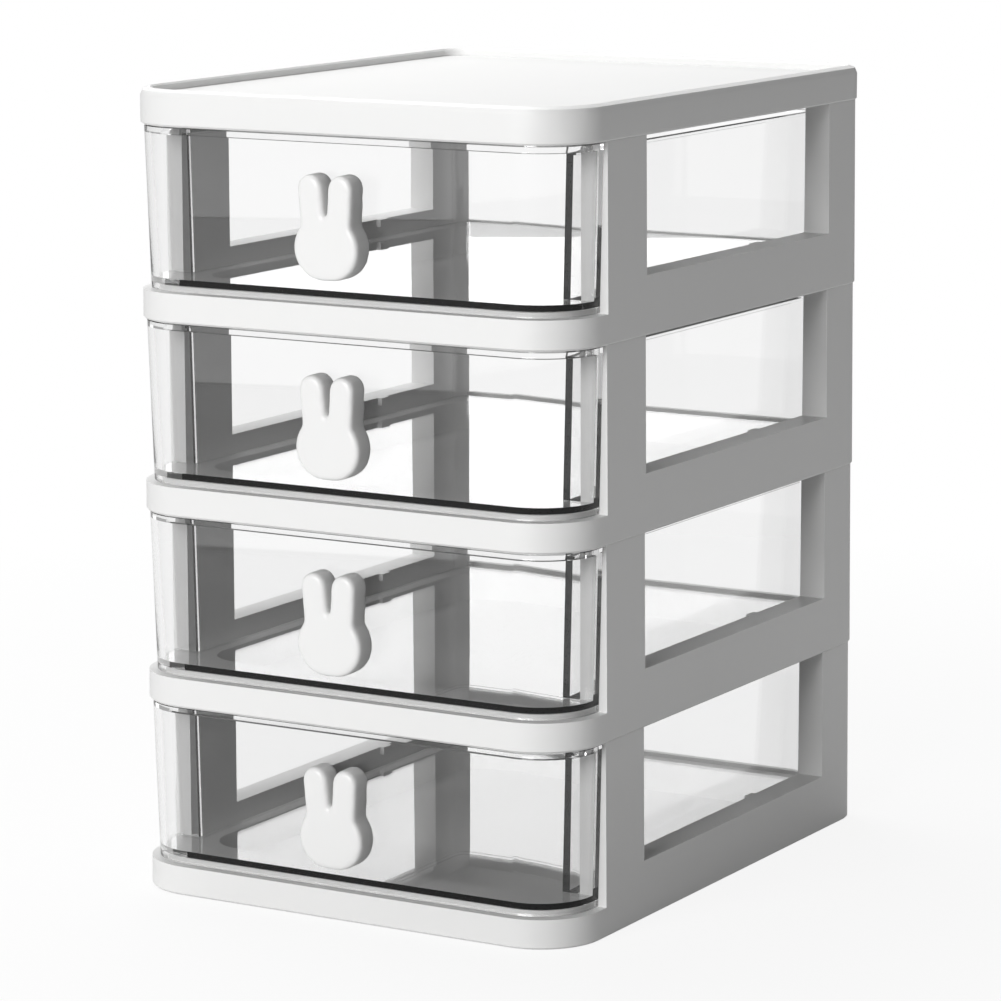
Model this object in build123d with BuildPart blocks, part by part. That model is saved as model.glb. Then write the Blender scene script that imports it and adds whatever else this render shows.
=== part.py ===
"""Free-standing chest of four clear drawers in stacking white tiers.

Millimetres, +Z up, +X to the right of someone facing the chest, fronts towards -Y.
The origin is the centre of the footprint, on the surface that the chest stands on.
"""
from math import atan, copysign, cos, degrees, radians, sin
import os

from build123d import *

# Whole chest
unit_width = 155.0
unit_depth = 195.0
tier_count = 4
tier_pitch = 58.6
front_corner_radius = 20.0
rear_corner_radius = 10.0

# Tier frame: a tray with two hollow, windowed side walls
skin = 1.8
wall_width = 8.8
wall_draft = 0.5
post_setback = 24.0
front_post_length = 23.5
rear_post_length = 26.6
band_height = 9.0
ledge_height = 10.7
ledge_width = 17.5
ledge_corner_radius = 12.0
shelf_thickness = 1.5
sill_height = 17.8
rear_lip_height = 12.0
rear_lip_thickness = 2.5
foot_chamfer = 0.6
rib_thickness = 1.4
rib_pitch = 60.0
hollow_facets = 2

# Guide pips on the side rails
pip_y = 38.0
pip_length = 5.0
pip_height = 2.4
pip_reach = 1.5

# Pegs on the posts, which plug into the sockets of the piece above
peg_height = 5.0
peg_clearance = 0.3
peg_chamfer = 0.8

# Top cover
cover_height = 10.9
cover_recess = 2.4
cover_rim_width = 3.4
cover_panel_thickness = 1.8
cover_edge_radius = 2.5
cover_rim_chamfer = 0.5

# Drawer: one clear moulding with a wide front that wraps both corners
front_inset = 2.6
front_lean = 1.1
front_thickness = 2.0
front_foot_gap = 0.3
front_head_gap = 0.5
front_step_clearance = 0.3
front_bead_height = 2.0
front_bead_width = 3.0
front_post_gap = 0.5
shoulder_thickness = 2.0
drawer_wall = 1.6
drawer_floor = 1.9
drawer_lift = 0.3
drawer_side_gap = 2.1
drawer_rear_gap = 10.0
drawer_wall_drop = 2.9
drawer_flange_height = 0.8
drawer_flange_width = 0.8
drawer_rear_radius = 5.5

# Rabbit-head knob
knob_foot_height = 17.0
knob_head_width = 22.0
knob_head_height = 18.8
knob_ear_height = 36.9
knob_ear_offset = 4.7
knob_ear_length = 22.0
knob_ear_width = 8.2
knob_ear_splay = 4.0
knob_depth = 8.0
knob_edge_chamfer = 0.8

# Knob screw
screw_diameter = 2.9
screw_bore_clearance = 0.05
screw_hole_clearance = 0.25
screw_length = 8.0
screw_bore_slack = 1.0
screw_head_diameter = 6.5
screw_head_height = 1.9
screw_slot_length = 3.8
screw_slot_width = 1.0
screw_slot_depth = 1.0
screw_sides = 16

# Worked out from the sizes above
half_width = unit_width / 2
front_y = -unit_depth / 2
rear_y = unit_depth / 2
wall_inner_x = half_width - wall_width
cavity_inset = skin + wall_draft
post_front_y = front_y + post_setback
window_front_y = post_front_y + front_post_length
window_rear_y = rear_y - rear_post_length
lip_inner_y = rear_y - rear_lip_thickness
cover_base = tier_count * tier_pitch
draft_angle = degrees(atan(wall_draft / (tier_pitch - foot_chamfer)))

front_bottom = band_height + front_foot_gap
front_top = tier_pitch - front_head_gap
floor_bottom = ledge_height + drawer_lift
floor_top = floor_bottom + drawer_floor
side_top = front_top - drawer_wall_drop
lean_rate = front_lean / (front_top - front_bottom)
box_x = wall_inner_x - drawer_side_gap
box_rear_y = lip_inner_y - drawer_rear_gap
shoulder_y = post_front_y - front_post_gap

knob_height = knob_foot_height + knob_head_height / 2
front_plane_y = front_y + front_inset - (knob_height - front_bottom) * lean_rate
lean = atan(lean_rate)
front_grip = front_thickness * cos(lean)
front_plane = Plane(
    origin=(0, front_plane_y, knob_height), x_dir=(1, 0, 0), z_dir=(0, -cos(lean), -sin(lean))
)


def rounded_outline(x, front, rear, front_radius, rear_radius, mode=Mode.ADD):
    """A rectangle in plan whose front and rear corners have radii of their own."""
    with BuildLine() as outline:
        FilletPolyline(
            (-x, front), (x, front), (x, rear), (-x, rear),
            radius=[front_radius, front_radius, rear_radius, rear_radius],
            close=True,
        )
    make_face(outline.edges(), mode=mode)


def chest_outline(inset, mode=Mode.ADD):
    """The footprint of the chest, drawn in by an inset."""
    rounded_outline(
        half_width - inset, front_y + inset, rear_y - inset,
        front_corner_radius - inset, rear_corner_radius - inset, mode,
    )


def hollow_outline(inset):
    """The footprint for the hollows inside, whose corners are cut in straight facets."""
    points = []
    for start, radius in ((180, front_corner_radius), (270, front_corner_radius),
                          (0, rear_corner_radius), (90, rear_corner_radius)):
        bend = radius - inset
        middle_angle = radians(start + 45)
        corner_x = copysign(half_width - inset - bend, cos(middle_angle))
        corner_y = copysign(rear_y - inset - bend, sin(middle_angle))
        for turn in range(hollow_facets + 1):
            angle = radians(start + 90 * turn / hollow_facets)
            points.append((corner_x + bend * cos(angle), corner_y + bend * sin(angle)))
    Polygon(*points, align=None)


def strip(near, far, mode):
    """A strip across the whole plan, between two depths."""
    with Locations((0, (near + far) / 2)):
        Rectangle(2 * unit_width, far - near, mode=mode)


def middle(half, mode):
    """The middle of the plan, out to a distance on each side."""
    Rectangle(2 * half, 2 * unit_depth, mode=mode)


def post_sections(shrink):
    """The hollows of the four posts in plan; the pegs are the same, shrunk by a clearance."""
    hollow_outline(cavity_inset + shrink)
    middle(wall_inner_x + skin + shrink, Mode.SUBTRACT)
    strip(front_y - skin, post_front_y + skin + shrink, Mode.SUBTRACT)
    strip(window_front_y - skin - shrink, window_rear_y + skin + shrink, Mode.SUBTRACT)


def rail_sections():
    """The hollows of the two side rails in plan, between the posts."""
    hollow_outline(cavity_inset)
    middle(wall_inner_x + skin, Mode.SUBTRACT)
    strip(front_y - skin, window_front_y, Mode.SUBTRACT)
    strip(window_rear_y, rear_y + skin, Mode.SUBTRACT)


def side_walls(mode):
    """The zone of the two side walls in plan, from the front posts to the rear."""
    depth = rear_y + skin - post_front_y
    with Locations(
        (wall_inner_x + wall_width, post_front_y + depth / 2),
        (-wall_inner_x - wall_width, post_front_y + depth / 2),
    ):
        Rectangle(2 * wall_width, depth, mode=mode)


def drawer_outline(height, inset, shoulder_inset, box_inset):
    """The drawer in plan: a wide front, stepped in behind its shoulders to pass the posts."""
    sink = (front_top - height) * lean_rate
    wide = half_width - front_inset + front_lean - sink - inset
    narrow = box_x - sink - box_inset
    front = front_y + front_inset - front_lean + sink + inset
    rear = box_rear_y - sink - box_inset
    shoulder = shoulder_y - shoulder_inset
    front_radius = front_corner_radius - front_inset - inset
    rear_radius = drawer_rear_radius - box_inset
    with BuildLine() as outline:
        FilletPolyline(
            (-wide, front), (wide, front), (wide, shoulder), (narrow, shoulder),
            (narrow, rear), (-narrow, rear), (-narrow, shoulder), (-wide, shoulder),
            radius=[
                front_radius, front_radius, 0, 0,
                rear_radius, rear_radius, 0, 0,
            ],
            close=True,
        )
    make_face(outline.edges())


# Tier frame on the ground; the stack repeats it
with BuildPart() as tier_pattern:
    # Outer form: the foot stands proud of the tier below
    with BuildSketch(Plane.XY.offset(foot_chamfer)) as foot:
        chest_outline(0)
    extrude(amount=tier_pitch - foot_chamfer, taper=draft_angle)
    extrude(foot.sketch, amount=-foot_chamfer, taper=45)

    # Drawer bay, open to the front and, above the lip, to the rear
    with BuildSketch(Plane.XY.offset(ledge_height)):
        strip(front_y - skin, post_front_y, Mode.ADD)
        with Locations((0, (post_front_y + lip_inner_y) / 2)):
            Rectangle(2 * wall_inner_x, lip_inner_y - post_front_y)
    extrude(amount=tier_pitch, mode=Mode.SUBTRACT)
    with BuildSketch(Plane.XY.offset(rear_lip_height)):
        middle(wall_inner_x, Mode.ADD)
    extrude(amount=tier_pitch, mode=Mode.SUBTRACT)

    # Lower step along the front band, where the drawer front stands
    with BuildSketch(Plane.XY.offset(band_height)):
        chest_outline(-skin)
        chest_outline(front_inset + front_thickness + front_step_clearance, Mode.SUBTRACT)
        strip(post_front_y, rear_y + 2 * skin, Mode.SUBTRACT)
    extrude(amount=tier_pitch, mode=Mode.SUBTRACT)

    # Side windows, open at the top until the next piece closes them
    with BuildSketch(Plane.XY.offset(sill_height)):
        strip(window_front_y, window_rear_y, Mode.ADD)
    extrude(amount=tier_pitch, mode=Mode.SUBTRACT)

    # Sunken shelf inside the ledge
    with BuildSketch(Plane.XY.offset(shelf_thickness)):
        rounded_outline(
            half_width - ledge_width, front_y + ledge_width, rear_y - ledge_width,
            ledge_corner_radius, ledge_corner_radius,
        )
    extrude(amount=tier_pitch, mode=Mode.SUBTRACT)

    # Hollow posts, rails and ledge, all open from below
    with BuildSketch(Plane.XY):
        post_sections(0)
    extrude(amount=tier_pitch - skin, mode=Mode.SUBTRACT)
    with BuildSketch(Plane.XY):
        rail_sections()
    extrude(amount=sill_height - skin, mode=Mode.SUBTRACT)
    with BuildSketch(Plane.XY):
        hollow_outline(cavity_inset)
        Rectangle(
            unit_width - 2 * (ledge_width - skin), unit_depth - 2 * (ledge_width - skin),
            mode=Mode.SUBTRACT,
        )
        side_walls(Mode.SUBTRACT)
        middle(rib_thickness / 2, Mode.SUBTRACT)
        with GridLocations(0, rib_pitch, 1, 2):
            Rectangle(2 * unit_width, rib_thickness, mode=Mode.SUBTRACT)
    extrude(amount=band_height - skin, mode=Mode.SUBTRACT)

    # Guide pips inside the side rails
    for side in (-1, 1):
        with BuildSketch(Plane.XY.offset(sill_height - pip_height)):
            with Locations((side * (wall_inner_x + (skin - pip_reach) / 2), pip_y)):
                Rectangle(pip_reach + skin, pip_length)
        extrude(amount=pip_height)

    # Pegs on top of the posts
    with BuildSketch(Plane.XY.offset(tier_pitch)):
        post_sections(peg_clearance)
    extrude(amount=peg_height)
    chamfer(tier_pattern.edges().group_by(Axis.Z)[-1], peg_chamfer)

# Top cover on the ground: a shallow tray, recessed above and hollow below
with BuildPart() as cover_pattern:
    shoulder_bite = cover_edge_radius * (1 - cos(radians(45)))
    for height, inset in (
        (0, foot_chamfer),
        (foot_chamfer, 0),
        (cover_height - cover_edge_radius, 0),
        (cover_height - shoulder_bite, shoulder_bite),
        (cover_height, cover_edge_radius),
    ):
        with BuildSketch(Plane.XY.offset(height)):
            chest_outline(inset)
    loft(ruled=True)

    # Recess in the top
    with BuildSketch(Plane.XY.offset(cover_height - cover_recess)):
        chest_outline(cover_rim_width)
    extrude(amount=cover_recess, mode=Mode.SUBTRACT)
    recess_edges = cover_pattern.faces().sort_by(Axis.Z)[-1].inner_wires()[0].edges()
    chamfer(recess_edges, cover_rim_chamfer)

    # Hollow underside, with sockets for the pegs
    underside = cover_height - cover_recess - cover_panel_thickness
    with BuildSketch(Plane.XY):
        hollow_outline(cavity_inset)
        side_walls(Mode.SUBTRACT)
        middle(rib_thickness / 2, Mode.SUBTRACT)
        strip(-rib_thickness / 2, rib_thickness / 2, Mode.SUBTRACT)
    extrude(amount=underside, mode=Mode.SUBTRACT)
    with BuildSketch(Plane.XY):
        rail_sections()
        post_sections(0)
    extrude(amount=underside, mode=Mode.SUBTRACT)

# Drawer on the ground tier
with BuildPart() as drawer_pattern:
    # Outer form, leaning out towards the top
    for height in (front_bottom, front_top):
        with BuildSketch(Plane.XY.offset(height)):
            drawer_outline(height, 0, 0, 0)
    loft(ruled=True)

    # Room for the ledge under the floor, behind the skirt of the front
    with BuildSketch(Plane.XY.offset(front_bottom)):
        chest_outline(front_inset + front_thickness)
    extrude(amount=floor_bottom - front_bottom, mode=Mode.SUBTRACT)

    # Lower side and rear walls, with a thin flange around their top
    with BuildSketch(Plane.XY.offset(side_top)):
        strip(shoulder_y, rear_y, Mode.ADD)
    extrude(amount=front_top, mode=Mode.SUBTRACT)
    with BuildSketch(Plane.XY.offset(side_top - drawer_flange_height)):
        rounded_outline(
            box_x + drawer_flange_width, shoulder_y - shoulder_thickness,
            box_rear_y + drawer_flange_width, 0, drawer_rear_radius + drawer_flange_width,
        )
    extrude(amount=drawer_flange_height)

    # Inside, narrower at the top to leave a bead behind the front
    bead_bottom = front_top - front_bead_height
    for height in (floor_top, bead_bottom):
        with BuildSketch(Plane.XY.offset(height)):
            drawer_outline(height, front_thickness, shoulder_thickness, drawer_wall)
    loft(ruled=True, mode=Mode.SUBTRACT)
    with BuildSketch(Plane.XY.offset(bead_bottom)):
        drawer_outline(
            front_top, front_thickness + front_bead_width, shoulder_thickness, drawer_wall
        )
    extrude(amount=front_bead_height, mode=Mode.SUBTRACT)

    # Hole for the knob's screw
    with BuildSketch(front_plane):
        RegularPolygon(screw_diameter / 2 + screw_hole_clearance, screw_sides)
    extrude(amount=-2 * front_thickness, mode=Mode.SUBTRACT)

# Knob on the ground tier's drawer
with BuildPart() as knob_pattern:
    with BuildSketch(front_plane):
        SlotOverall(knob_head_width, knob_head_height)
        for side in (-1, 1):
            with Locations((side * knob_ear_offset, knob_ear_height - knob_height)):
                SlotOverall(knob_ear_length, knob_ear_width, rotation=90 - side * knob_ear_splay)
    extrude(amount=knob_depth)
    chamfer(knob_pattern.faces().sort_by(Axis.Y)[0].edges(), knob_edge_chamfer)

    # Bore for the screw
    with BuildSketch(front_plane):
        RegularPolygon(screw_diameter / 2 + screw_bore_clearance, screw_sides)
    extrude(amount=screw_length + screw_bore_slack - front_grip, mode=Mode.SUBTRACT)

# Screw on the ground tier's knob, driven from inside the drawer
with BuildPart() as screw_pattern:
    with BuildSketch(front_plane.offset(-front_grip)):
        RegularPolygon(screw_head_diameter / 2, screw_sides)
    extrude(amount=-screw_head_height)
    with BuildSketch(front_plane.offset(-front_grip - screw_head_height)):
        Rectangle(screw_slot_length, screw_slot_width)
        Rectangle(screw_slot_width, screw_slot_length)
    extrude(amount=screw_slot_depth, mode=Mode.SUBTRACT)
    with BuildSketch(front_plane.offset(-front_grip)):
        RegularPolygon(screw_diameter / 2, screw_sides)
    extrude(amount=screw_length)

os.makedirs("parts", exist_ok=True)

with BuildPart() as top_cover:
    with Locations((0, 0, cover_base)):
        add(cover_pattern.part)
top_cover.part.label = "top_cover"
export_step(top_cover.part, "parts/top_cover.step")

# Tiers are counted from the top
for tier in range(1, tier_count + 1):
    base = (tier_count - tier) * tier_pitch
    for name, pattern in (
        ("tier_frame", tier_pattern),
        ("drawer", drawer_pattern),
        ("knob", knob_pattern),
        ("knob_screw", screw_pattern),
    ):
        with BuildPart() as piece:
            with Locations((0, 0, base)):
                add(pattern.part)
        piece.part.label = f"{name}_{tier}"
        export_step(piece.part, f"parts/{name}_{tier}.step")
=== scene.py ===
"""Looks for the desktop drawer chest: camera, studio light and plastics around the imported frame.

Metres, in the frame's own axes: +Z up, fronts towards -Y. The floor is at z = 0.
"""
import math

import bpy
from mathutils import Matrix, Vector

# Camera, fitted to the photograph's edges
camera_yaw = math.radians(30.203)
camera_pitch = math.radians(10.13)
camera_roll = math.radians(-0.073)
camera_place = Vector((0.6609, -1.1375, 0.3474))
focal_length_px = 4265.6
image_width_px = 1001
sensor_width_mm = 36.0
nearest_drawn = 0.05
farthest_drawn = 20.0

# Share of the white surroundings that reflections pick up, and the level that lights the chest
mirror_share = 0.35
sky_level = 0.165

# Shading turns sharp where two faces meet at more than this angle
crease_angle = math.radians(35.0)
# Points that agree to this many digits are one corner
corner_digits = 7

# Soft rounding of the knobs' edges
knob_voxel = 0.0004
knob_smoothing = 0.5
knob_smoothing_passes = 40

# Floor: how far the chest's shadow shows before the floor turns plain white, and how strongly
floor_size = 12.0
floor_drop = 0.0002
shadow_near = 0.2
shadow_far = 0.55
white_share_near = 0.88


def add_camera():
    """The camera at the photograph's place, angle and focal length."""
    back = Vector((
        math.sin(camera_yaw) * math.cos(camera_pitch),
        -math.cos(camera_yaw) * math.cos(camera_pitch),
        math.sin(camera_pitch),
    ))
    right = Vector((math.cos(camera_yaw), math.sin(camera_yaw), 0.0))
    up = back.cross(right)
    rolled_right = math.cos(camera_roll) * right + math.sin(camera_roll) * up
    rolled_up = math.cos(camera_roll) * up - math.sin(camera_roll) * right

    lens = bpy.data.cameras.new("camera")
    lens.sensor_width = sensor_width_mm
    lens.lens = focal_length_px / image_width_px * sensor_width_mm
    lens.clip_start = nearest_drawn
    lens.clip_end = farthest_drawn
    camera = bpy.data.objects.new("camera", lens)
    bpy.context.scene.collection.objects.link(camera)
    camera.matrix_world = Matrix((
        (rolled_right.x, rolled_up.x, back.x, camera_place.x),
        (rolled_right.y, rolled_up.y, back.y, camera_place.y),
        (rolled_right.z, rolled_up.z, back.z, camera_place.z),
        (0.0, 0.0, 0.0, 1.0),
    ))
    bpy.context.scene.camera = camera


def new_material(name):
    """An empty node material and its tree."""
    material = bpy.data.materials.new(name)
    material.use_nodes = True
    material.node_tree.nodes.clear()
    return material, material.node_tree


def add_node(tree, kind, **values):
    """A shader node with its sockets set by name."""
    node = tree.nodes.new(kind)
    for key, value in values.items():
        node.inputs[key.replace("_", " ")].default_value = value
    return node


def grey(level):
    """A neutral colour."""
    return (level, level, level, 1.0)


def calculate(tree, operation, first, second):
    """A maths node on two values, each a socket or a number."""
    node = tree.nodes.new("ShaderNodeMath")
    node.operation = operation
    for socket, value in zip(node.inputs, (first, second)):
        if isinstance(value, (int, float)):
            socket.default_value = value
        else:
            tree.links.new(value, socket)
    return node.outputs["Value"]


def blend_colors(tree, first, second, factor):
    """A mix of two colours by a socket."""
    mix = tree.nodes.new("ShaderNodeMix")
    mix.data_type = "RGBA"
    mix.inputs["A"].default_value = first
    mix.inputs["B"].default_value = second
    tree.links.new(factor, mix.inputs["Factor"])
    return mix.outputs["Result"]


def blend_shaders(tree, first, second, factor):
    """A mix of two shader sockets by a socket."""
    mix = tree.nodes.new("ShaderNodeMixShader")
    tree.links.new(factor, mix.inputs["Fac"])
    tree.links.new(first, mix.inputs[1])
    tree.links.new(second, mix.inputs[2])
    return mix.outputs["Shader"]


def finish_material(tree, surface, volume=None):
    """The output node, fed by a surface shader and, for clear plastic, a volume."""
    out = tree.nodes.new("ShaderNodeOutputMaterial")
    tree.links.new(surface, out.inputs["Surface"])
    if volume is not None:
        tree.links.new(volume, out.inputs["Volume"])


def open_sight(tree):
    """1 straight ahead or through plastic, less in reflections, 0 for bounced or trapped light."""
    # Depths are whole numbers, so each limit lies between two
    one_reflection_at_most = 1.5
    no_bounce = 0.5
    path = tree.nodes.new("ShaderNodeLightPath")
    untrapped = calculate(tree, "LESS_THAN", path.outputs["Glossy Depth"], one_reflection_at_most)
    through = calculate(tree, "MULTIPLY", path.outputs["Is Transmission Ray"], untrapped)
    mirrored = calculate(tree, "MULTIPLY", path.outputs["Is Glossy Ray"], mirror_share)
    straight = calculate(tree, "MAXIMUM", path.outputs["Is Camera Ray"], through)
    either = calculate(tree, "MAXIMUM", straight, mirrored)
    unbounced = calculate(tree, "LESS_THAN", path.outputs["Diffuse Depth"], no_bounce)
    return calculate(tree, "MULTIPLY", either, unbounced)


def moulded_surface(tree, body, scale, smoothest, roughest, waviness, wave_height):
    """Gives a shader a slow drift in roughness and a faint waviness. Returns the drift."""
    place = tree.nodes.new("ShaderNodeTexCoord")
    drift = add_node(tree, "ShaderNodeTexNoise", Scale=scale, Detail=3.0, Roughness=0.5)
    tree.links.new(place.outputs["Object"], drift.inputs["Vector"])
    spread = add_node(tree, "ShaderNodeMapRange", To_Min=smoothest, To_Max=roughest)
    tree.links.new(drift.outputs["Fac"], spread.inputs["Value"])
    tree.links.new(spread.outputs["Result"], body.inputs["Roughness"])
    wave_scale = 2.5 * scale
    wave = add_node(tree, "ShaderNodeTexNoise", Scale=wave_scale, Detail=2.0, Roughness=0.4)
    tree.links.new(place.outputs["Object"], wave.inputs["Vector"])
    bump = add_node(tree, "ShaderNodeBump", Strength=waviness, Distance=wave_height)
    tree.links.new(wave.outputs["Fac"], bump.inputs["Height"])
    tree.links.new(bump.outputs["Normal"], body.inputs["Normal"])
    return drift.outputs["Fac"]


def white_plastic(name, light, dark, smoothest, roughest, waviness):
    """Opaque satin moulding with a slight drift in tone."""
    material, tree = new_material(name)
    body = add_node(tree, "ShaderNodeBsdfPrincipled", IOR=1.5)
    drift = moulded_surface(
        tree, body, scale=14.0, smoothest=smoothest, roughest=roughest,
        waviness=waviness, wave_height=0.0006,
    )
    tree.links.new(blend_colors(tree, light, dark, drift), body.inputs["Base Color"])
    finish_material(tree, body.outputs["BSDF"])
    return material


def clear_plastic(name):
    """Clear polystyrene: refracting, faintly absorbing along its thickness, and open to lamplight."""
    material, tree = new_material(name)
    body = add_node(
        tree, "ShaderNodeBsdfPrincipled", Base_Color=grey(1.0), IOR=1.42, Transmission_Weight=1.0,
    )
    moulded_surface(
        tree, body, scale=10.0, smoothest=0.0, roughest=0.015, waviness=0.01, wave_height=0.0002,
    )
    path = tree.nodes.new("ShaderNodeLightPath")
    surface = body.outputs["BSDF"]
    for ray, share_let_through in (("Is Diffuse Ray", 0.65), ("Is Shadow Ray", 0.93)):
        open_pane = add_node(tree, "ShaderNodeBsdfTransparent", Color=grey(share_let_through))
        surface = blend_shaders(tree, surface, open_pane.outputs["BSDF"], path.outputs[ray])
    haze = add_node(tree, "ShaderNodeVolumeAbsorption", Color=grey(0.0), Density=12.0)
    finish_material(tree, surface, haze.outputs["Volume"])
    return material


def screw_steel(name):
    """Plain zinc-plated steel with a fine grain."""
    material, tree = new_material(name)
    body = add_node(tree, "ShaderNodeBsdfPrincipled", Base_Color=(0.62, 0.62, 0.63, 1.0), Metallic=1.0)
    moulded_surface(
        tree, body, scale=220.0, smoothest=0.25, roughest=0.4, waviness=0.1, wave_height=0.0002,
    )
    finish_material(tree, body.outputs["BSDF"])
    return material


def crisp_normals(mesh):
    """Shading normals from the faces that meet within the crease angle, weighted by area."""
    corners = [tuple(round(c, corner_digits) for c in vertex.co) for vertex in mesh.vertices]
    around = {}
    for face in mesh.polygons:
        for vertex in face.vertices:
            around.setdefault(corners[vertex], []).append(face.index)
    sharp = math.cos(crease_angle)
    faces = [(face.normal.copy(), face.area) for face in mesh.polygons]
    normals = []
    for face in mesh.polygons:
        own = faces[face.index][0]
        for vertex in face.vertices:
            total = Vector((0.0, 0.0, 0.0))
            for other in around[corners[vertex]]:
                normal, area = faces[other]
                if normal.dot(own) > sharp:
                    total += normal * area
            normals.append(total.normalized() if total.length > 0 else own)
    for face in mesh.polygons:
        face.use_smooth = True
    mesh.normals_split_custom_set(normals)


def cushion(piece):
    """Rounds a knob's edges softly."""
    skin = piece.modifiers.new("skin", "REMESH")
    skin.mode = "VOXEL"
    skin.voxel_size = knob_voxel
    skin.use_smooth_shade = True
    smoothing = piece.modifiers.new("cushion", "SMOOTH")
    smoothing.factor = knob_smoothing
    smoothing.iterations = knob_smoothing_passes


def pale_floor(name):
    """White to the camera, with the chest's shadow around it, and a plain pale grey to bounced light."""
    material, tree = new_material(name)
    place = tree.nodes.new("ShaderNodeTexCoord")
    grain = add_node(tree, "ShaderNodeTexNoise", Scale=6.0, Detail=2.0)
    tree.links.new(place.outputs["Object"], grain.inputs["Vector"])
    shadowed = add_node(tree, "ShaderNodeBsdfDiffuse")
    tone = blend_colors(tree, grey(0.93), grey(0.90), grain.outputs["Fac"])
    tree.links.new(tone, shadowed.inputs["Color"])

    reach = tree.nodes.new("ShaderNodeVectorMath")
    reach.operation = "LENGTH"
    tree.links.new(place.outputs["Object"], reach.inputs[0])
    fade = add_node(
        tree, "ShaderNodeMapRange",
        From_Min=shadow_near, From_Max=shadow_far, To_Min=white_share_near, To_Max=1.0,
    )
    tree.links.new(reach.outputs["Value"], fade.inputs["Value"])
    glow = add_node(tree, "ShaderNodeEmission", Color=grey(1.0), Strength=1.0)
    seen = blend_shaders(
        tree, shadowed.outputs["BSDF"], glow.outputs["Emission"], fade.outputs["Result"],
    )
    bounced = add_node(tree, "ShaderNodeBsdfDiffuse", Color=grey(0.8))
    finish_material(tree, blend_shaders(tree, bounced.outputs["BSDF"], seen, open_sight(tree)))
    return material


def add_floor():
    """The floor under the chest."""
    bpy.ops.mesh.primitive_plane_add(size=floor_size, location=(0.0, 0.0, -floor_drop))
    floor = bpy.context.object
    floor.name = "floor"
    floor.data.materials.append(pale_floor("pale_floor"))


def add_surroundings():
    """White for camera, mirror and see-through rays, and a plain grey sky for the rest."""
    world = bpy.data.worlds.new("studio")
    bpy.context.scene.world = world
    world.use_nodes = True
    tree = world.node_tree
    tree.nodes.clear()
    level = add_node(tree, "ShaderNodeMapRange", To_Min=sky_level, To_Max=1.0)
    tree.links.new(open_sight(tree), level.inputs["Value"])
    sky = add_node(tree, "ShaderNodeBackground", Color=grey(1.0))
    tree.links.new(level.outputs["Result"], sky.inputs["Strength"])
    out = tree.nodes.new("ShaderNodeOutputWorld")
    tree.links.new(sky.outputs["Background"], out.inputs["Surface"])


def add_softbox(name, place, target, width, height, watts):
    """A rectangular lamp aimed at a point."""
    lamp = bpy.data.lights.new(name, "AREA")
    lamp.shape = "RECTANGLE"
    lamp.size = width
    lamp.size_y = height
    lamp.energy = watts
    holder = bpy.data.objects.new(name, lamp)
    bpy.context.scene.collection.objects.link(holder)
    holder.location = place
    holder.rotation_euler = (Vector(target) - Vector(place)).to_track_quat("-Z", "Y").to_euler()


add_camera()
bpy.context.scene.view_settings.view_transform = "Standard"

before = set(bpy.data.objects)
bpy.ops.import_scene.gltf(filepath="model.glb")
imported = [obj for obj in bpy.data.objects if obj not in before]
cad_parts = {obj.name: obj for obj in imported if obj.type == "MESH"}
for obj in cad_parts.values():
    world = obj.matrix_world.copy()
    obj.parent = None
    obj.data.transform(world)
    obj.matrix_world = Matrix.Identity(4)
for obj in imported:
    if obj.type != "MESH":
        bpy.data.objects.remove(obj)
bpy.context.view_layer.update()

shell = white_plastic(
    "white_shell", light=(0.80, 0.80, 0.795, 1.0), dark=(0.785, 0.785, 0.78, 1.0),
    smoothest=0.42, roughest=0.50, waviness=0.04,
)
pull = white_plastic(
    "white_knob", light=(0.82, 0.82, 0.815, 1.0), dark=(0.80, 0.80, 0.795, 1.0),
    smoothest=0.28, roughest=0.38, waviness=0.06,
)
clear = clear_plastic("clear_drawer")
steel = screw_steel("screw_steel")

for name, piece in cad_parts.items():
    if name.startswith("drawer"):
        finish = clear
    elif name.startswith("knob_screw"):
        finish = steel
    elif name.startswith("knob"):
        finish = pull
    else:
        finish = shell
    piece.data.materials.clear()
    piece.data.materials.append(finish)
    if finish is pull:
        cushion(piece)
    else:
        crisp_normals(piece.data)

add_floor()
add_surroundings()

# Frontal key light; a weak card behind, which the drawer floors mirror; a lamp close over the cover
add_softbox("key", (-0.1, -2.2, 0.9), (0.0, 0.0, 0.1), width=1.4, height=1.0, watts=40.5)
add_softbox("card", (-0.95, 1.75, 0.71), (0.0, 0.0, 0.12), width=1.6, height=0.6, watts=3.2)
add_softbox("top", (-0.3, 0.15, 0.95), (0.0, 0.0, 0.24), width=0.5, height=0.5, watts=5.3)
